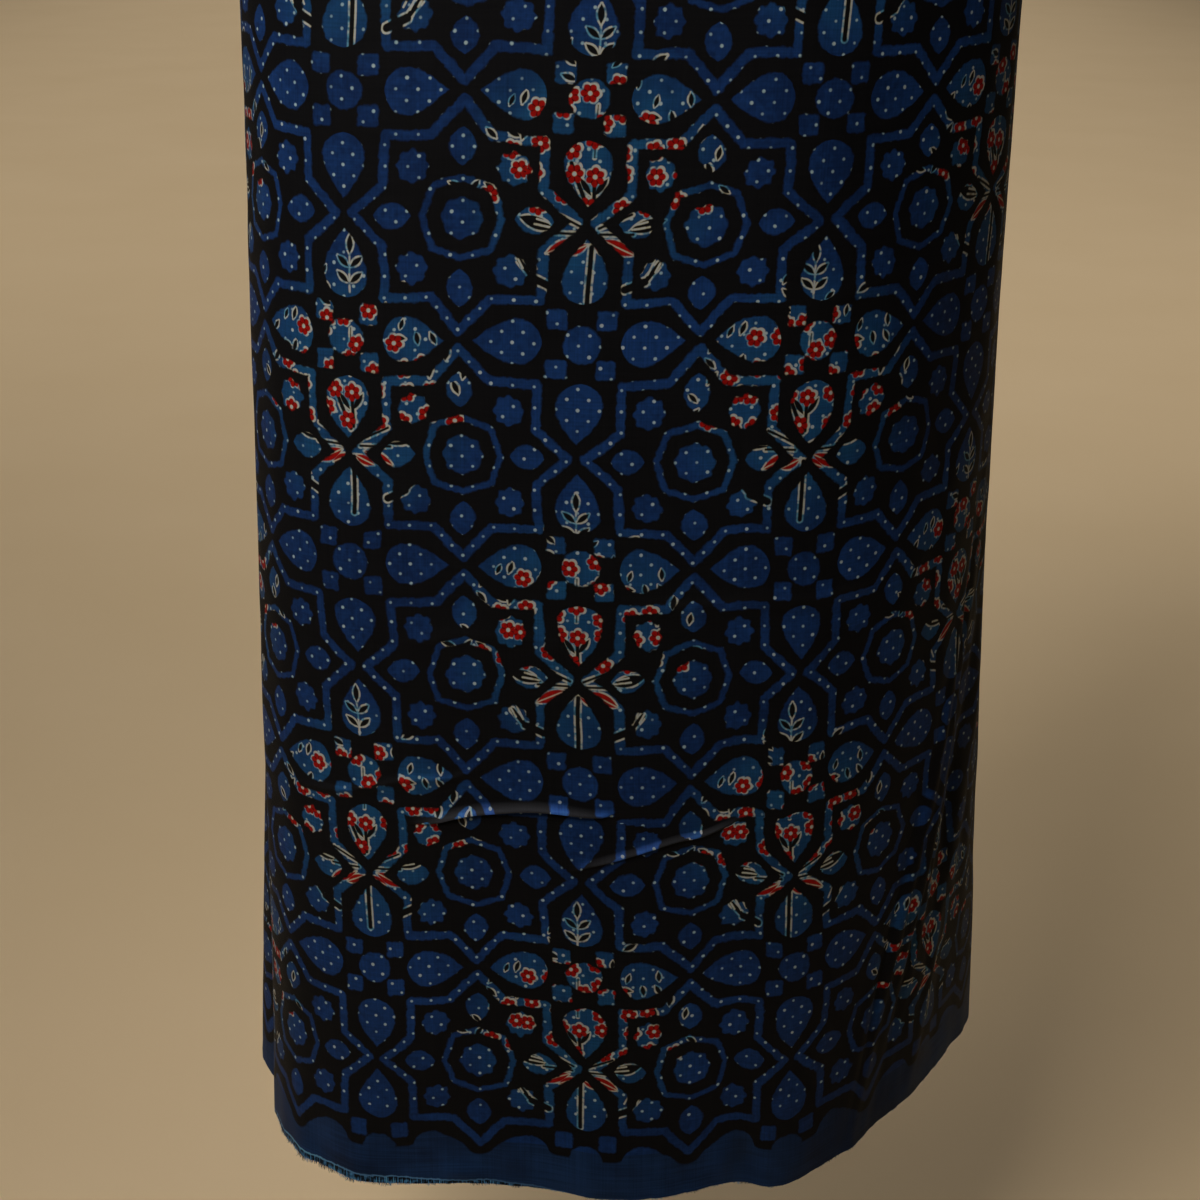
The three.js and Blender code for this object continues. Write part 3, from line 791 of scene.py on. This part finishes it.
def fray_material():
    mat = bpy.data.materials.new("loose_threads")
    mat.use_nodes = True
    tree = mat.node_tree
    n = Net(tree)
    shader = tree.nodes["Principled BSDF"]
    tone = n.put("ShaderNodeAttribute", {"attribute_name": "tone"}, out=2)
    place = n.put("ShaderNodeTexCoord", out=3, vector=True)
    fleck = n.put("ShaderNodeTexNoise", None, {"Vector": place, "Scale": 420.0, "Detail": 1.0})
    ramp = n.mix(n.ma(tone, 2.6, -1.1, True), colour(9, 14, 24), colour(84, 148, 204))
    col = n.mix(n.ma(fleck, 1.8, -0.80, True), ramp, colour(30, 74, 116))
    tree.links.new(col.socket, shader.inputs["Base Color"])
    tree.links.new(n.ma(fleck, 0.2, 0.6).socket, shader.inputs["Roughness"])
    shader.inputs["Sheen Weight"].default_value = 0.2
    return mat


# ---------------------------------------------------------------- the pieces
cloth = build_cloth()
fray = build_fray()
block_print = build_print("block_print", True)
block_between = build_print("block_print_between", False)
for name, group, reverse in (("printed_face", block_print, False), ("printed_reverse", block_print, True),
                             ("printed_between", block_between, False), ("printed_reverse_between", block_between, True)):
    cloth.data.materials.append(cloth_material(name, group, reverse))
fray.data.materials.append(fray_material())

for piece in (cloth, fray):
    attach(piece, "root")
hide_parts("cloth")

# ---------------------------------------------------------------- floor, light, camera
FLOOR_Z = -1.36


def build_floor():
    mesh = bpy.data.meshes.new("floor")
    half = 16.0
    mesh.from_pydata([(-half, -half, FLOOR_Z), (half, -half, FLOOR_Z), (half, half, FLOOR_Z), (-half, half, FLOOR_Z)], [], [(0, 1, 2, 3)])
    obj = bpy.data.objects.new("floor", mesh)
    bpy.context.scene.collection.objects.link(obj)
    mat = bpy.data.materials.new("pale_floor")
    mat.use_nodes = True
    n = Net(mat.node_tree)
    shader = mat.node_tree.nodes["Principled BSDF"]
    place = n.put("ShaderNodeTexCoord", out=3, vector=True)
    grain = n.put("ShaderNodeTexNoise", None, {"Vector": place, "Scale": 3.0, "Detail": 4.0})
    mat.node_tree.links.new(n.mix(grain, colour(233, 204, 160), colour(240, 212, 170)).socket, shader.inputs["Base Color"])
    shader.inputs["Roughness"].default_value = 0.85
    mesh.materials.append(mat)
    return obj


build_floor()


def area_light(name, place, aim, size, power, tint, spread=180):
    data = bpy.data.lights.new(name, "AREA")
    data.shape = "RECTANGLE"
    data.size, data.size_y = size
    data.energy = power
    data.color = tint
    data.spread = math.radians(spread)
    obj = bpy.data.objects.new(name, data)
    obj.location = place
    obj.rotation_euler = (Vector(aim) - Vector(place)).to_track_quat("-Z", "Y").to_euler()
    bpy.context.scene.collection.objects.link(obj)


area_light("key", (-0.9, -1.7, 1.3), (-0.06, -0.1, 0.03), (0.9, 0.9), 3.85, (1.0, 0.97, 0.93), 50)
area_light("side", (-1.75, -1.5, 0.75), (0.0, 0.0, -0.7), (1.3, 1.3), 12.4, (1.0, 0.97, 0.93))
area_light("top", (-0.85, -0.62, 1.4), (-0.05, -0.1, -0.6), (1.0, 1.0), 12.2, (1.0, 0.98, 0.95))
area_light("rear", (0.2, 2.4, 0.7), (0.0, 0.0, -0.40), (1.2, 1.2), 4.5, (1.0, 0.97, 0.93), 44)
area_light("back", (-0.3, 8.0, 2.4), (-0.3, 8.0, 0.0), (7.0, 13.0), 130, (1.0, 0.97, 0.92), 80)

world = bpy.data.worlds.new("studio")
bpy.context.scene.world = world
world.use_nodes = True
world.node_tree.nodes["Background"].inputs["Color"].default_value = (0.86, 0.87, 0.90, 1.0)
world.node_tree.nodes["Background"].inputs["Strength"].default_value = 0.02
bpy.context.scene.view_settings.view_transform = "Standard"

PITCH, ROLL = math.radians(20.95), math.radians(0.726)
camera_data = bpy.data.cameras.new("camera")
camera_data.sensor_fit = "HORIZONTAL"
camera_data.sensor_width = 36.0
camera_data.lens = 63.77
camera_data.clip_start, camera_data.clip_end = 0.05, 60.0
camera = bpy.data.objects.new("camera", camera_data)
camera.matrix_world = (Matrix.Translation((-0.0109, -1.1365, -0.3707))
                       @ Matrix.Rotation(math.pi / 2 - PITCH, 4, "X") @ Matrix.Rotation(ROLL, 4, "Z"))
bpy.context.scene.collection.objects.link(camera)
bpy.context.scene.camera = camera
